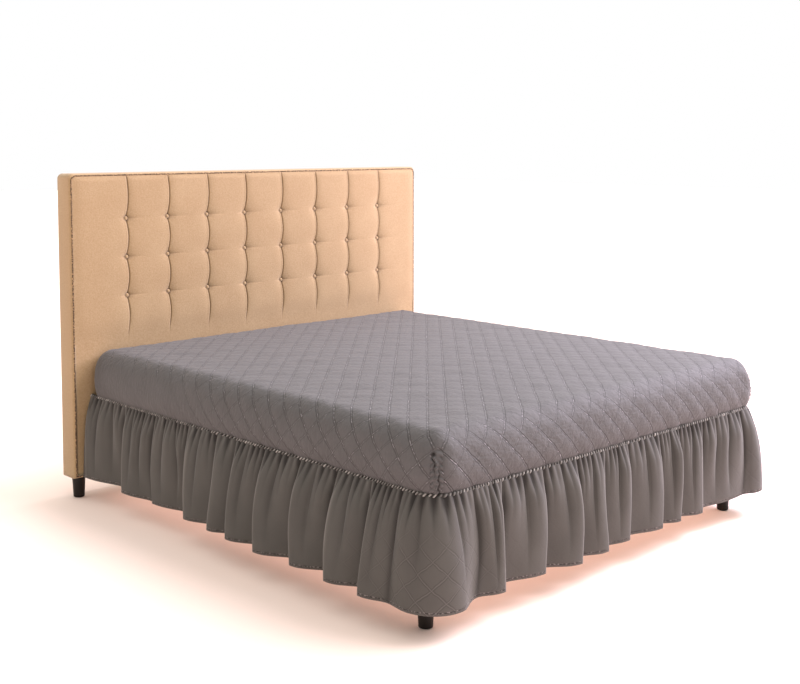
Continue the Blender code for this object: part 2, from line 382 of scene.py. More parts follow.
def tufting(x, z):
    """How far the front stands out of its flat face. The padding swells between the pleats, each
    pleat is a narrow groove with a raised lip on its left, a soft crease runs sideways from each
    button, and the button is pulled in. All of it ends above the mattress."""
    off_x, off_z = nearest(x, BUTTONS_X), nearest(z, BUTTONS_Z)
    far_x, far_z = np.abs(off_x), np.abs(off_z)
    swell = 0.0050 * (1 - hump(far_x, 0.016, 1.1))
    groove = 0.0040 * hump(off_x, 0.0024)
    lip = 0.0020 * hump(off_x + 0.0060, 0.0034)
    beside = np.where(off_x > 0, np.exp(-far_x / 0.038), np.exp(-far_x / 0.015))
    crease = 0.0085 * beside * np.exp(-far_z / np.where(off_z > 0, 0.016, 0.006))
    round_button = np.hypot(far_x, far_z)
    pull = 0.0030 * hump(round_button, 0.014, 1.5)
    pull += 0.0040 * hump(round_button, 0.045)
    inside = fade(np.abs(x), 0.976, 0.930) * fade(z, 1.346, 1.318)
    return ((swell - groove + lip) * inside - crease - pull) * fade(z, 0.645, 0.74)


def pleat_bow(x, z):
    """How far a pleat bows to the right between one row of buttons and the next."""
    low = np.concatenate([BUTTONS_Z, [0.671]])
    high = np.concatenate([[BOARD_TOP], BUTTONS_Z])
    share = (z[..., None] - low) / (high - low)
    bend = np.where((share >= 0) & (share < 1), np.sin(np.pi * share), 0).sum(-1)
    return PLEAT_BOW * bend * hump(nearest(x, BUTTONS_X), 0.05)


def round_corners(x, z):
    """Draws the upper corners of a rectangle in to quarter circles, and the grid with them."""
    a = np.clip((np.abs(x) - (BOARD_HALF_WIDTH - BOARD_CORNER)) / BOARD_CORNER, 0, 1)
    b = np.clip((z - (BOARD_TOP - BOARD_CORNER)) / BOARD_CORNER, 0, 1)
    x = x + np.sign(x) * BOARD_CORNER * a * (np.sqrt(1 - b * b / 2) - 1)
    z = z + BOARD_CORNER * b * (np.sqrt(1 - a * a / 2) - 1)
    return x, z


def drawn_in(x, z, inset):
    """The same outline, smaller by the inset on every side."""
    less_high = 1 - inset / (BOARD_TOP - BOARD_MIDDLE_Z)
    return x * (1 - inset / BOARD_HALF_WIDTH), BOARD_MIDDLE_Z + (z - BOARD_MIDDLE_Z) * less_high


def board_outline(x, z, inset):
    """The outline as a closed loop through these places, clockwise seen from the front."""
    loop_x = np.concatenate([np.full(len(z) - 1, x[0]), x[:-1], np.full(len(z) - 1, x[-1]), x[:0:-1]])
    loop_z = np.concatenate([z[:-1], np.full(len(x) - 1, z[-1]), z[:0:-1], np.full(len(x) - 1, z[0])])
    return drawn_in(*round_corners(loop_x, loop_z), inset)


# Woven upholstery: matt tan polyester with a slub, threads 1 mm apart, drawn at 3 mm to show.
# Painted shade darkens the pleats, the cloth round each button and a soft patch to its right
board_cloth, tree, shader = new_finish("woven_upholstery")
place = add_node(tree, "TexCoord").outputs["Object"]
waves = {"Vector": place, "Scale": 105.0, "Distortion": 1.5, "Detail Scale": 2.0}
across, upward = [add_node(tree, "TexWave", waves, bands_direction=way) for way in "XZ"]
weave = add_node(tree, "Math", {0: across.outputs["Fac"], 1: upward.outputs["Fac"]}, operation="ADD")
slub = add_node(tree, "TexNoise", {"Vector": place, "Scale": 170.0, "Detail": 4.0})
cloud = add_node(tree, "TexNoise", {"Vector": place, "Scale": 6.0, "Detail": 3.0})
tone = add_node(tree, "Mix", {"Factor": slub, "A": "#937750", "B": "#B79D7B"}, data_type="RGBA")
drift = add_node(tree, "Mix", {"Factor": cloud, "A": "#EDE6DE", "B": "#FFFFFF"}, data_type="RGBA")
clouded_tone = add_node(tree, "Mix", {"Factor": 1.0, "A": tone, "B": drift}, data_type="RGBA", blend_type="MULTIPLY")
board_shade = add_node(tree, "Attribute", attribute_name="board_shade").outputs["Fac"]
board_shaded_tone = add_node(tree, "Mix", {"Factor": board_shade, "A": clouded_tone, "B": "#412814"}, data_type="RGBA")
bump = add_node(tree, "Bump", {"Height": weave, "Strength": 0.4, "Distance": 0.0006})
bump2 = add_node(tree, "Bump", {"Height": slub, "Strength": 0.45, "Distance": 0.0012, "Normal": bump})
fill_sockets(shader, {
    "Base Color": board_shaded_tone, "Normal": bump2, "Roughness": 0.88,
    "Sheen Weight": 0.25, "Sheen Roughness": 0.5,
})

# The grid is fine beside the pleats, the rows of buttons and the round corners, else coarse
beside = np.array([0, 0.0015, 0.003, 0.0045, 0.0065, 0.009, 0.012, 0.016, 0.022, 0.030, 0.042])
beside = np.concatenate([-beside, beside])
near_x, near_z = (BUTTONS_X[:, None] + beside).ravel(), (BUTTONS_Z[:, None] + beside).ravel()
even_x = np.linspace(-BOARD_HALF_WIDTH, BOARD_HALF_WIDTH, 100)
even_z = np.linspace(BOARD_BOTTOM, BOARD_TOP, 70)
corner = np.linspace(0, BOARD_CORNER, 7)
x = np.concatenate([even_x, near_x, BOARD_HALF_WIDTH - corner, corner - BOARD_HALF_WIDTH])
z = np.concatenate([even_z, near_z, BOARD_TOP - corner])
x, z = np.unique(np.round(x, 3)), np.unique(np.round(z, 3))
grid_z, grid_x = np.meshgrid(z, x, indexing="ij")
front_x, front_z = drawn_in(*round_corners(grid_x, grid_z), BOARD_EDGE)
out = tufting(front_x, front_z)
off_x, off_z = nearest(front_x, BUTTONS_X), nearest(front_z, BUTTONS_Z)
# Painted shade: in each pleat, round each button, and in a soft patch to the right of each button where the
# tufting's shadow falls
pleat_and_button_shade = 0.85 * hump(off_x, 0.0017) * fade(front_z, 0.645, 0.70)
pleat_and_button_shade = np.maximum(pleat_and_button_shade, hump(np.hypot(off_x, off_z), 0.0125, 4))
shade_beside_button = fade(off_x, 0.002, 0.009) * np.exp(-((off_x / 0.034) ** 2) - ((off_z + 0.001) / 0.008) ** 2)
pleat_and_button_shade = np.maximum(pleat_and_button_shade, 0.42 * shade_beside_button)
front_x = front_x + pleat_bow(front_x, front_z) * fade(front_z, BOARD_TOP - 0.006, BOARD_TOP - 0.02)
front = np.stack([front_x, BOARD_FRONT - out, front_z], -1).reshape(-1, 3)
# The band goes round from the front face, back along the sides, and in across the flat back
bends = np.linspace(0, math.pi / 2, 5)
insets = np.concatenate([BOARD_EDGE * (1 - np.sin(bends)), BOARD_EDGE * (1 - np.cos(bends)), [0.10, 0.35]])
depths = BOARD_EDGE * np.concatenate([1 - np.cos(bends), np.sin(bends) - 1, [0, 0]])
depths[len(bends) :] += BOARD_DEPTH
band = []
for inset, depth in zip(insets, depths):
    loop_x, loop_z = board_outline(x, z, inset)
    band.append(np.stack([loop_x, np.full_like(loop_x, BOARD_FRONT + depth), loop_z], -1))
band.append(np.broadcast_to([0.0, BOARD_FRONT + BOARD_DEPTH, BOARD_MIDDLE_Z], band[0].shape))
band = np.array(band)
front_faces = grid_faces(len(z), len(x))[:, ::-1]
band_faces = grid_faces(len(band), band.shape[1], closed=True) + len(front)
points = np.concatenate([front, band.reshape(-1, 3)])
pleat_and_button_shade = np.concatenate([pleat_and_button_shade.ravel(), np.zeros(len(points) - len(front))])
board_faces = np.concatenate([front_faces, band_faces])
headboard = add_piece("headboard_upholstery", points, board_faces, None, {"board_shade": pleat_and_button_shade})
headboard.data.materials.append(board_cloth)
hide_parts("headboard")


# Headboard piping
# Thin cords wrapped in the same cloth and stitched in brown thread, sewn into the seams where
# the side band meets the front and the back.

PIPING_RADIUS, BACK_PIPING_RADIUS = 0.0030, 0.0026
CORD_SIDES = 8
# The cords lie this far in from the outline, and this far in from the front and back faces
CORD_INSET, CORD_SUNK = 0.0088, 0.0012


def cord_loop(path, radius, sides):
    """A round cord along a closed path in an upright plane: circles square to the path."""
    ahead = np.roll(path, -1, 0) - np.roll(path, 1, 0)
    ahead /= np.linalg.norm(ahead, axis=1)[:, None]
    aside = np.cross(ahead, [0.0, 1.0, 0.0])
    turn = np.arange(sides) * 2 * np.pi / sides
    circle = aside[:, None] * np.cos(turn)[:, None] + np.array([0.0, 1.0, 0.0]) * np.sin(turn)[:, None]
    number = np.arange(len(path) * sides).reshape(-1, sides)
    after = np.roll(number, -1, 0)
    faces = np.stack([number, after, np.roll(after, -1, 1), np.roll(number, -1, 1)], -1).reshape(-1, 4)
    return (path[:, None] + radius * circle).reshape(-1, 3), faces


# Piping cloth: brown, with the tan cloth showing between stitches about 4 mm apart
piping_cloth, tree, shader = new_finish("stitched_piping")
place = add_node(tree, "TexCoord").outputs["Object"]
specks = add_node(tree, "TexNoise", {"Vector": place, "Scale": 230.0, "Detail": 1.0})
speck = add_node(tree, "MapRange", {"Value": specks, "From Min": 0.50, "From Max": 0.66})
tone = add_node(tree, "Mix", {"Factor": speck, "A": "#3D2B1B", "B": "#C6A277"}, data_type="RGBA")
bump = add_node(tree, "Bump", {"Height": specks, "Strength": 0.8, "Distance": 0.002})
fill_sockets(shader, {"Base Color": tone, "Normal": bump, "Roughness": 0.8})

even_x = np.linspace(-BOARD_HALF_WIDTH, BOARD_HALF_WIDTH, 220)
even_z = np.linspace(BOARD_BOTTOM, BOARD_TOP, 150)
loop_x, loop_z = board_outline(even_x, even_z, CORD_INSET)
front_path = np.stack([loop_x, np.full_like(loop_x, BOARD_FRONT + CORD_SUNK), loop_z], -1)
back_path = front_path + [0.0, BOARD_DEPTH - 2 * CORD_SUNK, 0.0]
front_cord, cord_faces = cord_loop(front_path, PIPING_RADIUS, CORD_SIDES)
back_cord, _ = cord_loop(back_path, BACK_PIPING_RADIUS, CORD_SIDES)
cord_faces = np.concatenate([cord_faces, cord_faces + len(front_cord)])
piping = add_piece("headboard_piping", np.concatenate([front_cord, back_cord]), cord_faces)
piping.data.materials.append(piping_cloth)


# Headboard buttons
# Small domed buttons covered in the same cloth, tied through the foam to the wood behind.

BUTTON_RADIUS, BUTTON_HEIGHT = 0.0095, 0.007
BUTTON_LIFT = 0.0095
DOME_RINGS, DOME_SIDES = 7, 14


def dome(x, z, back_y):
    """One button: rings of points from the rim to the middle of a flattened half ball."""
    rise = np.linspace(-0.5, math.pi / 2, DOME_RINGS)[:, None]
    turn = np.arange(DOME_SIDES) * 2 * np.pi / DOME_SIDES
    out = BUTTON_RADIUS * np.cos(rise)
    y = back_y - BUTTON_HEIGHT * np.sin(rise) + 0 * turn
    return np.stack([x + out * np.cos(turn), y, z + out * np.sin(turn)], -1).reshape(-1, 3)


button_x, button_z = (a.ravel() for a in np.meshgrid(BUTTONS_X, BUTTONS_Z))
seats = BOARD_FRONT - tufting(button_x, button_z) - BUTTON_LIFT
domes = [dome(x, z, seat) for x, z, seat in zip(button_x, button_z, seats)]
dome_faces = grid_faces(DOME_RINGS, DOME_SIDES, closed=True)[:, ::-1]
button_faces = np.concatenate([dome_faces + DOME_RINGS * DOME_SIDES * i for i in range(len(domes))])
# Painted shade on the cloth round each button's rim
rim_shade = np.repeat([1.0, 0.9, 0.45, 0.0, 0.0, 0.0, 0.0], DOME_SIDES)
rim_shade_marks = {"board_shade": np.tile(rim_shade, len(domes))}
buttons = add_piece("headboard_buttons", np.concatenate(domes), button_faces, None, rim_shade_marks)
buttons.data.materials.append(board_cloth)


# Quilted cover
# The upper part of the skirt: two layers of brushed microfibre with thin wadding between, sewn
# together in diamonds by double rows of stitching. It fits over the mattress like a lid.

# One diamond is this many grid steps long, and the first starts this many steps in
DIAMOND_STEPS, DIAMOND_START = 7, 4
PUFF = 0.0032
RIPPLE = 0.00035
COVER_ROUNDING = 0.065
COVER_THICKNESS = 0.004
# The foot corners are cut and sewn up to this height. Strips of the next section lie in the dip
SEWN_UP_Z, SEWN_DIP = 0.572, 0.009


def thicken(cloth, thickness, offset):
    """Gives a cloth its thickness, on the inside (offset -1) or to both sides (0)."""
    sheet = cloth.modifiers.new("Thickness", "SOLIDIFY")
    sheet.thickness = thickness
    sheet.offset = offset


points, facings, faces, face_flat, flat, part, off_seam, _ = soft_block(
    inset=0.0, drop_top=0.0, rounding=COVER_ROUNDING, bottom_z=SEAM_Z,
    steps_x=134, steps_y=151, row_step=0.01238, fan=6,
)
STEP = flat[1, 0] - flat[0, 0]
DIAMOND = DIAMOND_STEPS * STEP
flat[:, 0] -= DIAMOND_START * STEP
face_flat[..., 0] -= DIAMOND_START * STEP
down_side = 1 - facings[:, 2]
toward_head = fade(points[:, 1], 0.0, 0.50)
by_part = part.astype(int)
# How strongly each of the two sets of rows is drawn in on the deck, foot, right, head and left
rows_a = 0.60 + (np.array([0.60, 1.0, 0.4, 0.0, 0.4])[by_part] - 0.60) * down_side
rows_b = 0.90 + (np.array([0.90, 0.30, 0.7, 0.0, 0.7])[by_part] - 0.90) * down_side
# Above the corner seams the cloth is whole, and only the second set breaks off there
seamed = fade(points[:, 2], 0.600, 0.570)
plain = np.where(np.isin(by_part, (2, 4)), 1 - down_side * toward_head, 1)
rows_a = rows_a * plain * (1 - seamed * fade(off_seam, 0.012, 0.0))
rows_b = rows_b * plain * fade(off_seam, 0.0, 0.012)
across_a = np.abs(np.sin(np.pi * (flat[:, 0] + flat[:, 1]) / DIAMOND)) ** 0.9
across_b = np.abs(np.sin(np.pi * (flat[:, 0] - flat[:, 1]) / DIAMOND)) ** 0.9
lift = PUFF * (1 - rows_a * (1 - across_a)) * (1 - rows_b * (1 - across_b))
calm = np.where(by_part == 3, 1 - down_side, 1) * (1 - seamed * fade(off_seam, 0.022, 0.0))
lift *= calm
numbers = np.random.default_rng(11)
ripple = np.zeros(len(points))
for _ in range(12):
    way = numbers.uniform(0, 2 * np.pi)
    pitch = numbers.uniform(0.09, 0.35)
    ripple += np.sin(2 * np.pi * (flat @ [np.cos(way), np.sin(way)]) / pitch + numbers.uniform(0, 2 * np.pi))
lift += RIPPLE * ripple * calm
sewn_up = fade(points[:, 2], SEWN_UP_Z, SEWN_UP_Z - 0.012) * (points[:, 1] < 0)
lift -= SEWN_DIP * sewn_up * fade(off_seam, 0.021, 0.012)
# Painted shade along the cover's lower edge, where it turns in to the seam
painted_shade = 0.85 * fade(points[:, 2], SEAM_Z + 0.007, SEAM_Z + 0.001) * down_side
points = points + facings * lift[:, None]
# Each quad is split along its lower diagonal, so that the folds lie in the rows of stitching
a, b, c, d = faces.T
low = (lift[a] + lift[c] <= lift[b] + lift[d])[:, None]
order = np.where(low[..., None], np.array([[0, 1, 2], [0, 2, 3]]), np.array([[0, 1, 3], [1, 2, 3]]))
triangles = np.take_along_axis(faces[:, None, :].repeat(2, 1), order, 2).reshape(-1, 3)
triangle_flat = face_flat[np.arange(len(faces))[:, None, None], order].reshape(-1, 3, 2)
marks = {"rows_a": rows_a, "rows_b": rows_b, "painted_shade": painted_shade}
cover = add_piece("quilted_top", points, triangles, triangle_flat, marks)
thicken(cover, COVER_THICKNESS, -1.0)


def stitched_rows(tree, flat_place, strengths, gap):
    """Draws the two sets of double stitching rows from the cloth's flat places, a little unevenly.
    Returns sockets for the dark needle lines, which are painted shade in the stitched grooves,
    the light cloth between them, and the groove."""
    uneven = add_node(tree, "TexNoise", {"Vector": flat_place, "Scale": 34.0, "Detail": 5.0})
    shifted = add_node(
        tree, "VectorMath",
        {0: uneven.outputs["Color"], 1: (0.011, 0.011, 0.0), 2: flat_place}, operation="MULTIPLY_ADD",
    )
    lattice = add_node(tree, "Mapping", {"Vector": shifted, "Rotation": (0.0, 0.0, math.pi / 4)})
    split = add_node(tree, "SeparateXYZ", {"Vector": lattice})
    # For each drawn line: how far beside the row's middle, its inner and outer half widths in metres
    widths = ((0.0032, 0.0007, 0.0023), (0.0, 0.0004, 0.0018), (0.0, 0.0, 0.0070))
    found = ([], [], [])
    for axis, strength in zip("YX", strengths):
        cells = add_node(tree, "Math", {0: split.outputs[axis], 1: 1 / gap}, operation="MULTIPLY")
        off = add_node(tree, "Math", {0: cells, 1: 0.5, 2: -0.5}, operation="WRAP")
        metres = add_node(tree, "Math", {0: off, 1: gap}, operation="MULTIPLY")
        far = add_node(tree, "Math", {0: metres}, operation="ABSOLUTE")
        for (place, inner, outer), sockets in zip(widths, found):
            beside = add_node(tree, "Math", {0: far, 1: place}, operation="SUBTRACT")
            near = add_node(tree, "Math", {0: beside}, operation="ABSOLUTE")
            line = add_node(
                tree, "MapRange",
                {"Value": near, "From Min": inner, "From Max": outer, "To Min": 1.0, "To Max": 0.0},
                interpolation_type="SMOOTHSTEP",
            )
            kept = add_node(tree, "Math", {0: line, 1: strength}, operation="MULTIPLY")
            sockets.append(kept)
    return [add_node(tree, "Math", {0: pair[0], 1: pair[1]}, operation="MAXIMUM") for pair in found]


# Brushed microfibre: grey polyester with a soft sheen. The stitching is drawn from the cloth's
# own flat places, with puckers across it. Painted shade darkens the hollows at the seams
quilted_cloth, tree, shader = new_finish("quilted_microfibre")
flat_place = add_node(tree, "UVMap", uv_map="cloth")
*rows, painted_shade = [
    add_node(tree, "Attribute", attribute_name=mark).outputs["Fac"] for mark in ("rows_a", "rows_b", "painted_shade")
]
# Turned by 45 degrees, the rows of stitching lie this far apart
ROW_GAP = DIAMOND / math.sqrt(2)
needle_shade, thread, groove = stitched_rows(tree, flat_place, rows, ROW_GAP)
specks = add_node(tree, "TexNoise", {"Vector": flat_place, "Scale": 95.0, "Detail": 2.0})
speck = add_node(
    tree, "MapRange", {"Value": specks, "From Min": 0.52, "From Max": 0.64, "To Min": 0.0, "To Max": 0.85},
)
pucker = add_node(tree, "TexNoise", {"Vector": flat_place, "Scale": 60.0, "Detail": 4.0, "Distortion": 0.6})
# Fine wrinkles run along the first set of rows, about 9 mm apart
slanted = add_node(
    tree, "Mapping", {"Vector": flat_place, "Rotation": (0.0, 0.0, math.pi / 4), "Scale": (1.0, 5.5, 1.0)},
)
wrinkle = add_node(tree, "TexNoise", {"Vector": slanted, "Scale": 20.0, "Detail": 3.0})
nap = add_node(tree, "TexNoise", {"Vector": flat_place, "Scale": 1400.0, "Detail": 2.0})
cloud = add_node(tree, "TexNoise", {"Vector": flat_place, "Scale": 11.0, "Detail": 4.0})
tone = add_node(tree, "Mix", {"Factor": cloud, "A": "#484545", "B": "#545152"}, data_type="RGBA")
# Painted shade in the stitched grooves along the needle lines
needle_shade_share = add_node(tree, "Math", {0: needle_shade, 1: 0.80}, operation="MULTIPLY")
light_share = add_node(tree, "Math", {0: thread, 1: speck}, operation="MULTIPLY")
for share, over in ((needle_shade_share, "#171312"), (light_share, "#9A9398"), (painted_shade, "#120D0A")):
    tone = add_node(tree, "Mix", {"Factor": share, "A": tone, "B": over}, data_type="RGBA")
bump = add_node(tree, "Bump", {"Height": groove, "Strength": 0.9, "Distance": 0.0008}, invert=True)
for height, strength, depth in ((pucker, 0.5, 0.006), (wrinkle, 0.37, 0.005), (nap, 0.2, 0.0005)):
    relief = {"Height": height, "Strength": strength, "Distance": depth, "Normal": bump}
    bump = add_node(tree, "Bump", relief)
fill_sockets(shader, {
    "Base Color": tone, "Normal": bump, "Roughness": 0.8,
    "Sheen Weight": 0.12, "Sheen Roughness": 0.4,
})
cover.data.materials.append(quilted_cloth)
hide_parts("quilted_cover")


# Corner seams
# The cover's sides are cut apart at the foot corners and sewn edge to edge. The thread draws the
# cloth up, so that each seam is a narrow twisted ridge between two grooves. Painted shade
# darkens the grooves, the twist, the puckers' dips and the hole at the seam's top.

SEWN_FROM, SEWN_TO = 0.088, 0.2266
STRIP_ROWS, STRIP_COLUMNS = 84, 41
STRIP_HALF_WIDTH, STRIP_THICKNESS = 0.024, 0.0012


def corner_strip(along, aside):
    """A strip over the left foot corner's seam. It follows the corner's own profile, along down
    it and aside round it, lifted by a twisted ridge, a groove on each side that fades in turn,
    puckers that run out from it and a hole at its top. Its edges sink into the cover. Returns
    the points, and the painted shade on each: in the grooves, the twist, the puckers' dips and the hole."""
    tilt, height, swell = down_the_side(along, COVER_ROUNDING, TOP_Z)
    reach = COVER_ROUNDING * np.sin(tilt) + swell
    far = np.abs(aside)
    beat = 2 * np.pi * along / 0.0150
    middle = 0.0020 * np.sin(beat / 2) - 0.010 * fade(along, 0.128, 0.098)
    ridge = (0.0045 + 0.0025 * np.sin(beat)) * hump(aside - middle, 0.0036)
    left_groove = hump(aside + 0.0062 - middle, 0.0026)
    left_groove *= 0.15 + 0.85 * fade(along, 0.175, 0.125)
    right_groove = hump(aside - 0.0062 - middle, 0.0026)
    right_groove *= 0.10 + 0.90 * fade(along, 0.125, 0.175)
    puckers = np.cos(2 * np.pi * (along - 0.55 * far) / 0.0185)
    puckers *= hump(far - 0.0140, 0.0060)
    hole = np.exp(-(((along - 0.101) / 0.0070) ** 2) - ((aside + 0.009) / 0.0060) ** 2)
    start = fade(along, SEWN_FROM, 0.108)
    body = 0.0014 - 0.0034 * np.maximum(fade(far, 0.018, 0.024), fade(along, 0.098, SEWN_FROM))
    lift = body + (ridge - 0.0045 * (left_groove + right_groove) + 0.0026 * puckers) * start - 0.009 * hole
    turn = -0.75 * np.pi + aside / reach
    core = np.array([-SEAM_HALF_WIDTH, FOOT_Y]) + COVER_ROUNDING
    points = np.empty((*along.shape, 3))
    points[..., :2] = core + np.stack([np.cos(turn), np.sin(turn)], -1) * (reach + lift)[..., None]
    points[..., 2] = height
    twist = 0.50 * np.clip(np.sin(beat + aside / 0.0028), 0, 1) ** 2
    twist *= hump(aside - middle, 0.0048)
    beating = 0.65 + 0.35 * np.sin(beat + 2.2)
    seam_shade = np.maximum(np.maximum(left_groove, right_groove) * beating, twist) * start
    seam_shade = np.maximum(seam_shade, 0.30 * np.clip(-puckers, 0, 1) * start)
    return points, np.clip(np.maximum(seam_shade, 1.3 * hole), 0, 1)


down_seam = np.linspace(SEWN_FROM, SEWN_TO, STRIP_ROWS)
round_seam = np.linspace(-STRIP_HALF_WIDTH, STRIP_HALF_WIDTH, STRIP_COLUMNS)
along, aside = np.meshgrid(down_seam, round_seam, indexing="ij")
strip, seam_shade = corner_strip(along, aside)
mirrored = strip * [-1.0, 1.0, 1.0]
faces = grid_faces(STRIP_ROWS, STRIP_COLUMNS)
corner_points = np.concatenate([strip.reshape(-1, 3), mirrored.reshape(-1, 3)])
corner_faces = np.concatenate([faces, faces[:, ::-1] + seam_shade.size])
# Flat places as seen from the foot side and from the long side, which meet along the seam
foot_flat = np.stack([aside - DIAMOND_START * STEP, -along], -1).reshape(-1, 2)
long_flat = np.stack([-along - DIAMOND_START * STEP, -aside], -1).reshape(-1, 2)
on_foot = aside.ravel()[faces].mean(1) > 0
strip_flat = np.where(on_foot[:, None, None], foot_flat[faces], long_flat[faces])
near_seam = fade(np.abs(aside), 0.010, 0.020).ravel()
on_foot = (aside.ravel() > 0) * 1.0
corner_marks = {
    "rows_a": np.tile(near_seam * (0.5 + 0.5 * on_foot), 2),
    "rows_b": np.tile(near_seam * (0.8 - 0.35 * on_foot), 2),
    "painted_shade": np.tile(seam_shade.ravel(), 2),
}
strip_flat = np.tile(strip_flat, (2, 1, 1))
corner_seams = add_piece("corner_seams", corner_points, corner_faces, strip_flat, corner_marks)
thicken(corner_seams, STRIP_THICKNESS, -1.0)
corner_seams.data.materials.append(quilted_cloth)


# Gathered ruffle
# The lower part of the skirt: one long strip of the same microfibre, gathered onto the cover's
# edge on three sides, so that it hangs in folds. Its hem is turned up twice and stitched.

RUFFLE_TOP, HEM_Z = 0.4317, 0.096
RUFFLE_THICKNESS = 0.0016
SEAM_HEAD_Y = 0.976
SIDE_RUN = SEAM_HEAD_Y - (FOOT_Y + COVER_ROUNDING)
ROUND_RUN = COVER_ROUNDING * math.pi / 2
FOOT_RUN = 2 * (SEAM_HALF_WIDTH - COVER_ROUNDING)
SEAM_RUN = 2 * SIDE_RUN + 2 * ROUND_RUN + FOOT_RUN
# Along the seam from the head end of the left side: each fold's crest, how far it stands out at
# the hem, then the same for the dip after it. The folds overlap away from the foot corners
FOLDS = np.array([
    (0.030, 0.046, 0.272, 0.004), (0.311, 0.051, 0.490, 0.018), (0.508, 0.034, 0.712, 0.000),
    (0.765, 0.062, 0.892, 0.029), (0.928, 0.076, 1.015, 0.039), (1.049, 0.081, 1.178, 0.029),
    (1.216, 0.085, 1.371, 0.026), (1.409, 0.080, 1.557, 0.025), (1.601, 0.096, 1.725, 0.042),
    (1.756, 0.095, 1.862, 0.066), (1.955, 0.075, 2.118, 0.019), (2.213, 0.052, 2.251, -0.004),
    (2.423, 0.038, 2.453, -0.004), (2.591, 0.056, 2.628, 0.003), (2.754, 0.046, 2.781, 0.007),
    (2.891, 0.033, 2.915, 0.001), (3.078, 0.042, 3.108, 0.003), (3.202, 0.037, 3.232, -0.003),
    (3.353, 0.034, 3.393, -0.003), (3.600, 0.026, 3.655, 0.025), (3.772, 0.076, 3.838, 0.040),
    (3.905, 0.074, 3.942, 0.030), (4.060, 0.084, 4.105, 0.026), (4.215, 0.078, 4.262, 0.022),
    (4.400, 0.082, 4.447, 0.018), (4.565, 0.070, 4.610, 0.020), (4.755, 0.076, 4.800, 0.014),
    (4.900, 0.062, 4.944, 0.016), (5.085, 0.068, 5.130, 0.010), (5.270, 0.050, 5.312, 0.012),
    (5.455, 0.054, 5.498, 0.008), (5.640, 0.044, 5.690, 0.012),
])
# Each fold is drawn up into flutes about this wide, and each flute into three gathers
FLUTE_WIDTH = 0.082
DIPS = np.concatenate([[0.0], FOLDS[:-1, 2], [SEAM_RUN]])
FLUTES = np.maximum(np.round(np.diff(DIPS) / FLUTE_WIDTH), 1)
FLUTE_COUNT = np.concatenate([[0.0], np.cumsum(FLUTES)])


def seam_place(run):
    """Places on the three-sided seam line and the directions out from the bed. The second half
    of the line mirrors the first: straight side, quarter round, half of the foot."""
    mirror = np.where(run > SEAM_RUN / 2, -1.0, 1.0)
    left = np.where(run > SEAM_RUN / 2, SEAM_RUN - run, run)
    turn = np.clip((left - SIDE_RUN) / COVER_ROUNDING, 0, math.pi / 2)
    out_x, out_y = -np.cos(turn), -np.sin(turn)
    beyond = np.maximum(left - SIDE_RUN - ROUND_RUN, 0)
    x = -SEAM_HALF_WIDTH + COVER_ROUNDING + COVER_ROUNDING * out_x + beyond
    y = np.where(left < SIDE_RUN, SEAM_HEAD_Y - left, FOOT_Y + COVER_ROUNDING + COVER_ROUNDING * out_y)
    return np.stack([mirror * x, y], -1), np.stack([mirror * out_x, out_y], -1)


def hem_reach(run):
    """How far the hem stands out, easing from crest to dip to crest with wide crests and
    narrower dips."""
    knots, reach = FOLDS.reshape(-1, 2).T
    run = np.clip(run, knots[0], knots[-1])
    after = np.clip(np.searchsorted(knots, run, side="right"), 1, len(knots) - 1)
    share = (run - knots[after - 1]) / (knots[after] - knots[after - 1])
    rising = reach[after] > reach[after - 1]
    share = np.where(rising, 1 - share, share)
    low = np.minimum(reach[after - 1], reach[after])
    high = np.maximum(reach[after - 1], reach[after])
    return low + (high - low) * (0.5 + 0.5 * np.cos(np.pi * share**1.25))


def flute_number(run):
    """Counts the flutes along the seam. The count is whole at every dip between two folds."""
    return np.interp(run, DIPS, FLUTE_COUNT)


def ridges(count, seed, least):
    """Rounded ridges with narrow dips at the whole numbers, from 0 to 1, of uneven height. Each
    leans to one side, so that it has a steep face and a gentle one."""
    numbers = np.random.default_rng(seed)
    size, lean = numbers.uniform(least, 1.0, 2000), numbers.uniform(0.55, 1.35, 2000)
    whole = np.floor(count).astype(int)
    return np.sin(np.pi * (count - whole) ** lean[whole]) ** 0.75 * size[whole]


def valleys(count, seed, width):
    """Narrow dips at the whole numbers of a count, from 0 to 1, some deep and some shallow."""
    depth = 0.35 + 0.65 * np.random.default_rng(seed).uniform(0, 1, 2000)
    whole = np.round(count).astype(int)
    return depth[whole] * hump(np.abs(count - whole), width, 1.7)


def wander(count, seed, most):
    """Moves the whole numbers of a count by uneven shares, and leaves their order."""
    shift = np.random.default_rng(seed).uniform(-most, most, 2000)
    whole = np.floor(count).astype(int)
    return shift[whole] * (1 - (count - whole)) + shift[whole + 1] * (count - whole)


def ruffle_reach(run, down):
    """How far the ruffle stands out. The hem's folds grow from nothing at the seam. Gathers open
    out just under the seam and merge into flutes, which fade into the folds."""
    flutes = flute_number(run)
    folds = hem_reach(run) * (1 - (1 - down) ** 1.7)
    spring = 0.0045 * (1 - np.exp(-down / 0.04))
    gathers = 0.0120 * (1 - valleys(3 * flutes, 3, 0.32 - 0.15 * fade(down, 0, 0.2)))
    gathers *= hump(down, 0.20, 1.4)
    middle = 0.0260 * ridges(flutes, 7, 0.45) * fade(down, -0.03, 0.28) * fade(down, 1.05, 0.25)
    return folds + spring + gathers + middle


COLUMNS, ROWS = 6, 29
last = FLUTE_COUNT[-1]
count = np.arange(int(3 * COLUMNS * last) + 1) / (3 * COLUMNS)
even = np.interp(count, FLUTE_COUNT, DIPS)
down = (np.linspace(0, 1, ROWS) ** 1.35)[:, None]
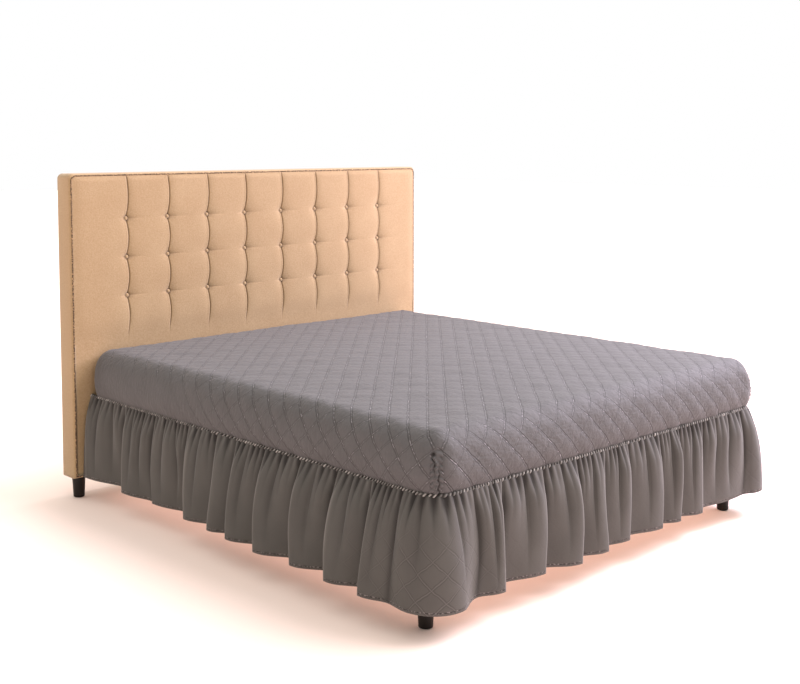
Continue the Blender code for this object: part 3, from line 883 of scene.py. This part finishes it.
# The flutes wander to the side, but not at the seam, where the gathers are held, nor at the ends
swing = wander(count, 31, 0.20) * FLUTE_WIDTH * np.minimum(1, 8 * np.minimum(even, SEAM_RUN - even))
swing = swing * fade(down, 0.0, 0.5) * (1 - 0.8 * fade(down, 0.6, 1.0))
run = even[None, :]
reach = ruffle_reach(run, down)
hem = HEM_Z + 0.003 * np.sin(2 * np.pi * run / 0.71)
seam, outward = seam_place(np.clip(run + swing, 0, SEAM_RUN))
points = np.empty((ROWS, len(count), 3))
points[..., :2] = seam + outward * reach[..., None]
points[..., 2] = RUFFLE_TOP + (hem - RUFFLE_TOP) * down
width = len(count)
stretch = np.linalg.norm(np.diff(points[ROWS // 2], axis=0), axis=1)
cloth_along = np.concatenate([[0], np.cumsum(stretch)])
drop = np.linalg.norm(np.diff(points, axis=0), axis=2)
from_hem = np.concatenate([np.cumsum(drop[::-1], axis=0)[::-1], np.zeros((1, width))])
ruffle_flat = np.stack([np.broadcast_to(cloth_along, (ROWS, width)), from_hem], -1).reshape(-1, 2)
corner_run = SIDE_RUN + ROUND_RUN / 2
off_corner = nearest(run, np.array([corner_run, SEAM_RUN - corner_run]))
corner_panel = hump(off_corner, 0.16)
pressed = (0.07 + 0.27 * corner_panel) * fade(down, 0.15, 0.6)
flutes = flute_number(run)
# Painted shade: in the gathers' hollows under the seam, in the flutes' dips, along each fold's overlap and in
# a line under the band
gather_shade = 1.7 * valleys(3 * flutes, 3, 0.48 - 0.34 * fade(down, 0, 0.19))
gather_shade *= hump(down, 0.18, 1.5)
flute_shade = 0.40 * valleys(flutes, 41, 0.15) * fade(down, -0.1, 0.10) * fade(down, 1.0, 0.30)
overlap_shade = 0.60 * hump(nearest(run, FOLDS[:, 2]), 0.012) * fade(down, 0.0, 0.15)
shade_under_band = 0.50 * hump(down, 0.035)
painted_shade = np.maximum(np.maximum(gather_shade, flute_shade), overlap_shade + shade_under_band)
painted_shade = np.clip(painted_shade, 0, 0.96)
# Painted highlights on the gathers' ridges just under the seam
painted_highlight = 0.14 * (1 - valleys(3 * flutes, 3, 0.40)) * hump(down, 0.06, 1.5)
# Each fold's edge, which lies on the side away from the foot corner, gets a painted highlight
edges = FOLDS[:, 0] + np.where(FOLDS[:, 0] > 2.1, 0.008, -0.008)
edges = edges[np.abs(np.abs(edges - SEAM_RUN / 2) - FOOT_RUN / 2) > 0.12]
edge_highlight = 0.085 * hump(nearest(run, edges), 0.006) * fade(down, 0.08, 0.25)
painted_highlight = np.maximum(painted_highlight, edge_highlight)
faces = grid_faces(ROWS, width)
marks = {"pressed": pressed, "painted_shade": painted_shade, "painted_highlight": painted_highlight}
ruffle = add_piece("ruffle_folds", points.reshape(-1, 3), faces, ruffle_flat[faces], marks)
thicken(ruffle, RUFFLE_THICKNESS, 0.0)

# The same brushed microfibre in a single layer, stitched in faint diamonds, a little darker
# than the cover. Painted shade darkens the hollows of the gathers, and painted highlights
# lighten the ridges under the seam and the folds' edges
ruffle_cloth, tree, shader = new_finish("gathered_microfibre")
flat_place = add_node(tree, "UVMap", uv_map="cloth")
pressed, painted_shade, painted_highlight = [
    add_node(tree, "Attribute", attribute_name=mark).outputs["Fac"]
    for mark in ("pressed", "painted_shade", "painted_highlight")
]
needle_shade, thread, groove = stitched_rows(tree, flat_place, [pressed, pressed], 0.058)
split = add_node(tree, "SeparateXYZ", {"Vector": flat_place})
hem_off = add_node(tree, "Math", {0: split.outputs["Y"], 1: 0.009}, operation="SUBTRACT")
hem_near = add_node(tree, "Math", {0: hem_off}, operation="ABSOLUTE")
hem_line = add_node(
    tree, "MapRange",
    {"Value": hem_near, "From Min": 0.0006, "From Max": 0.0030, "To Min": 1.0, "To Max": 0.0},
)
specks = add_node(tree, "TexNoise", {"Vector": flat_place, "Scale": 120.0, "Detail": 1.0})
speck = add_node(tree, "MapRange", {"Value": specks, "From Min": 0.48, "From Max": 0.60})
nap = add_node(tree, "TexNoise", {"Vector": flat_place, "Scale": 1400.0, "Detail": 2.0})
cloud = add_node(tree, "TexNoise", {"Vector": flat_place, "Scale": 9.0, "Detail": 4.0})
crumple = add_node(tree, "TexNoise", {"Vector": flat_place, "Scale": 30.0, "Detail": 3.0})
tone = add_node(tree, "Mix", {"Factor": cloud, "A": "#43403D", "B": "#504D49"}, data_type="RGBA")
thread_tone = add_node(tree, "Mix", {"Factor": speck, "A": "#191614", "B": "#7A7572"}, data_type="RGBA")
tone = add_node(tree, "Mix", {"Factor": hem_line, "A": tone, "B": thread_tone}, data_type="RGBA")
for share, over in ((needle_shade, "#242120"), (thread, "#6C6664"), (painted_highlight, "#DCD4CF"), (painted_shade, "#150E0A")):
    tone = add_node(tree, "Mix", {"Factor": share, "A": tone, "B": over}, data_type="RGBA")
sewn = add_node(tree, "Math", {0: hem_line, 1: groove}, operation="MAXIMUM")
bump = add_node(tree, "Bump", {"Height": sewn, "Strength": 0.8, "Distance": 0.0018}, invert=True)
for height, strength, depth in ((crumple, 0.35, 0.003), (nap, 0.2, 0.0005)):
    relief = {"Height": height, "Strength": strength, "Distance": depth, "Normal": bump}
    bump = add_node(tree, "Bump", relief)
fill_sockets(shader, {
    "Base Color": tone, "Normal": bump, "Roughness": 0.8,
    "Sheen Weight": 0.12, "Sheen Roughness": 0.4,
})
ruffle.data.materials.append(ruffle_cloth)
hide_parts("gathered_ruffle")


# Gather seam
# The narrow ruched band where the ruffle is drawn up and sewn to the cover's edge.

BAND_ROWS, BAND_PER_GATHER = 7, 17
BAND_TOP, BAND_BOTTOM, BAND_THICKNESS = 0.4395, 0.4235, 0.001
count = np.arange(int(3 * BAND_PER_GATHER * last) + 1) / (3 * BAND_PER_GATHER)
run = np.interp(count, FLUTE_COUNT, DIPS)[None, :]
down = np.linspace(0, 1, BAND_ROWS)[:, None]
seam, outward = seam_place(run[0])
# Fine pleats, six to a flute, slant a little. The cloth is pinched tight between them, where it gets painted
# shade
pleats = 6 * count + 0.8 * down
tight = np.minimum(1, 1.5 * valleys(pleats, 3, 0.34))
bulge = 0.0015 + 0.0125 * (1 - 0.7 * tight) * np.sin(np.pi * (0.08 + 0.84 * down)) ** 0.8
# Painted shade along the band's top and bottom edges, between the pleats, and over the rest of the band but
# for light flecks on the pleats, which are painted highlights
band_edge_shade = np.maximum(0.92 * fade(down, 0.78, 0.96), 0.85 * fade(down, 0.18, 0.03))
highlight_fleck = valleys(pleats + 0.5, 19, 0.30) * fade(down, 0.85, 0.6) * fade(down, 0.02, 0.2)
band_shade = np.clip(np.maximum(1.2 * tight, band_edge_shade), 0.80 * (1 - highlight_fleck), 0.97)
points = np.empty((BAND_ROWS, len(count), 3))
points[..., :2] = seam + outward * bulge[..., None]
points[..., 2] = BAND_TOP + (BAND_BOTTOM - BAND_TOP) * down
band_flat = np.stack(np.broadcast_arrays(run * 1.35, 0.34 - 0.014 * down), -1).reshape(-1, 2)
faces = grid_faces(BAND_ROWS, len(count))
band_highlight = np.clip(1.25 * highlight_fleck, 0, 1) * (1 - tight)
band_marks = {"pressed": 0 * tight, "painted_shade": band_shade, "painted_highlight": band_highlight}
gather_band = add_piece("gather_seam", points.reshape(-1, 3), faces, band_flat[faces], band_marks)
thicken(gather_band, BAND_THICKNESS, -1.0)
gather_band.data.materials.append(ruffle_cloth)


# Floor, light and camera
# A plain pale studio floor, one broad soft light high over the right side of the bed, and a
# bright even surround.

# The floor lies a hair under the legs
FLOOR_HALF, FLOOR_Z = 30.0, -0.0002
floor_points = [(x * FLOOR_HALF, y * FLOOR_HALF, FLOOR_Z) for x, y in ((-1, -1), (1, -1), (1, 1), (-1, 1))]
floor_mesh = bpy.data.meshes.new("studio_floor")
floor_mesh.from_pydata(floor_points, [], [(0, 1, 2, 3)])
floor = add_object("studio_floor", floor_mesh)
# Painted studio floor: matt white with a faint warm tint
floor_paint, tree, shader = new_finish("matt_studio_floor")
place = add_node(tree, "TexCoord").outputs["Object"]
mottle = add_node(tree, "TexNoise", {"Vector": place, "Scale": 1.5, "Detail": 3.0})
tone = add_node(tree, "Mix", {"Factor": mottle, "A": "#FDE6DC", "B": "#FFECE5"}, data_type="RGBA")
fill_sockets(shader, {"Base Color": tone, "Roughness": 0.9})
floor.data.materials.append(floor_paint)
floor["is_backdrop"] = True

# The surround is white to look at, and lights the bed evenly as a studio's white walls do
surround = bpy.data.worlds.new("bright_surround")
surround.use_nodes = True
tree = surround.node_tree
background = tree.nodes["Background"]
fill_sockets(background, {"Color": (1.0, 0.98, 0.90, 1.0), "Strength": 0.88})
wall = add_node(tree, "Background", {"Color": (1.0, 1.0, 1.0, 1.0), "Strength": 1.0})
looked_at = add_node(tree, "LightPath").outputs["Is Camera Ray"]
both = add_node(tree, "MixShader", {0: looked_at, 1: background, 2: wall})
fill_sockets(tree.nodes["World Output"], {"Surface": both})
bpy.context.scene.world = surround


def add_light(name, kind, energy, tint, place, **settings):
    """A light at a place, turned so that it shines towards the origin."""
    lamp = bpy.data.lights.new(name, kind)
    lamp.energy = energy
    lamp.color = tint
    for key, value in settings.items():
        setattr(lamp, key, value)
    light = add_object(name, lamp)
    light.location = place
    x, y, z = place
    light.rotation_euler = (math.atan2(math.hypot(x, y), z), 0.0, math.atan2(y, x) + math.pi / 2)
    return light


# A far-off soft light over the right side, a wide one overhead, and a round screen near the bed
add_light("key_light", "SUN", 3.95, (1.0, 0.93, 0.98), (0.86, -0.42, 1.0), angle=math.radians(50))
add_light("top_light", "SUN", 0.80, (1.0, 1.0, 1.0), (0.001, 0.0, 1.0), angle=math.radians(110))
screen = add_light("screen_light", "AREA", 190.0, (0.86, 0.79, 1.0), (2.4, -1.6, 1.9), shape="DISK", size=1.8)
screen.location = (2.75, -1.35, 2.5)
# A weak warm panel under the base shines down, as light from the floor comes back under the bed
glow = add_light(
    "under_glow", "AREA", 5.8, (1.0, 0.82, 0.77), (0.001, 0.0, 0.094),
    shape="RECTANGLE", size=1.95, size_y=1.70,
)
glow.rotation_euler = (0.0, 0.0, math.pi / 2)

bpy.context.scene.view_settings.view_transform = "Standard"
lens = bpy.data.cameras.new("studio_camera")
lens.sensor_width = 36.0
lens.lens = 53.88
lens.shift_y = -0.14
camera = add_object("studio_camera", lens)
camera.location = (-3.376, -3.447, 1.483)
camera.rotation_euler = (math.radians(90 - 4.23), 0.0, math.radians(-43.85))
bpy.context.scene.camera = camera

low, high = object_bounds()
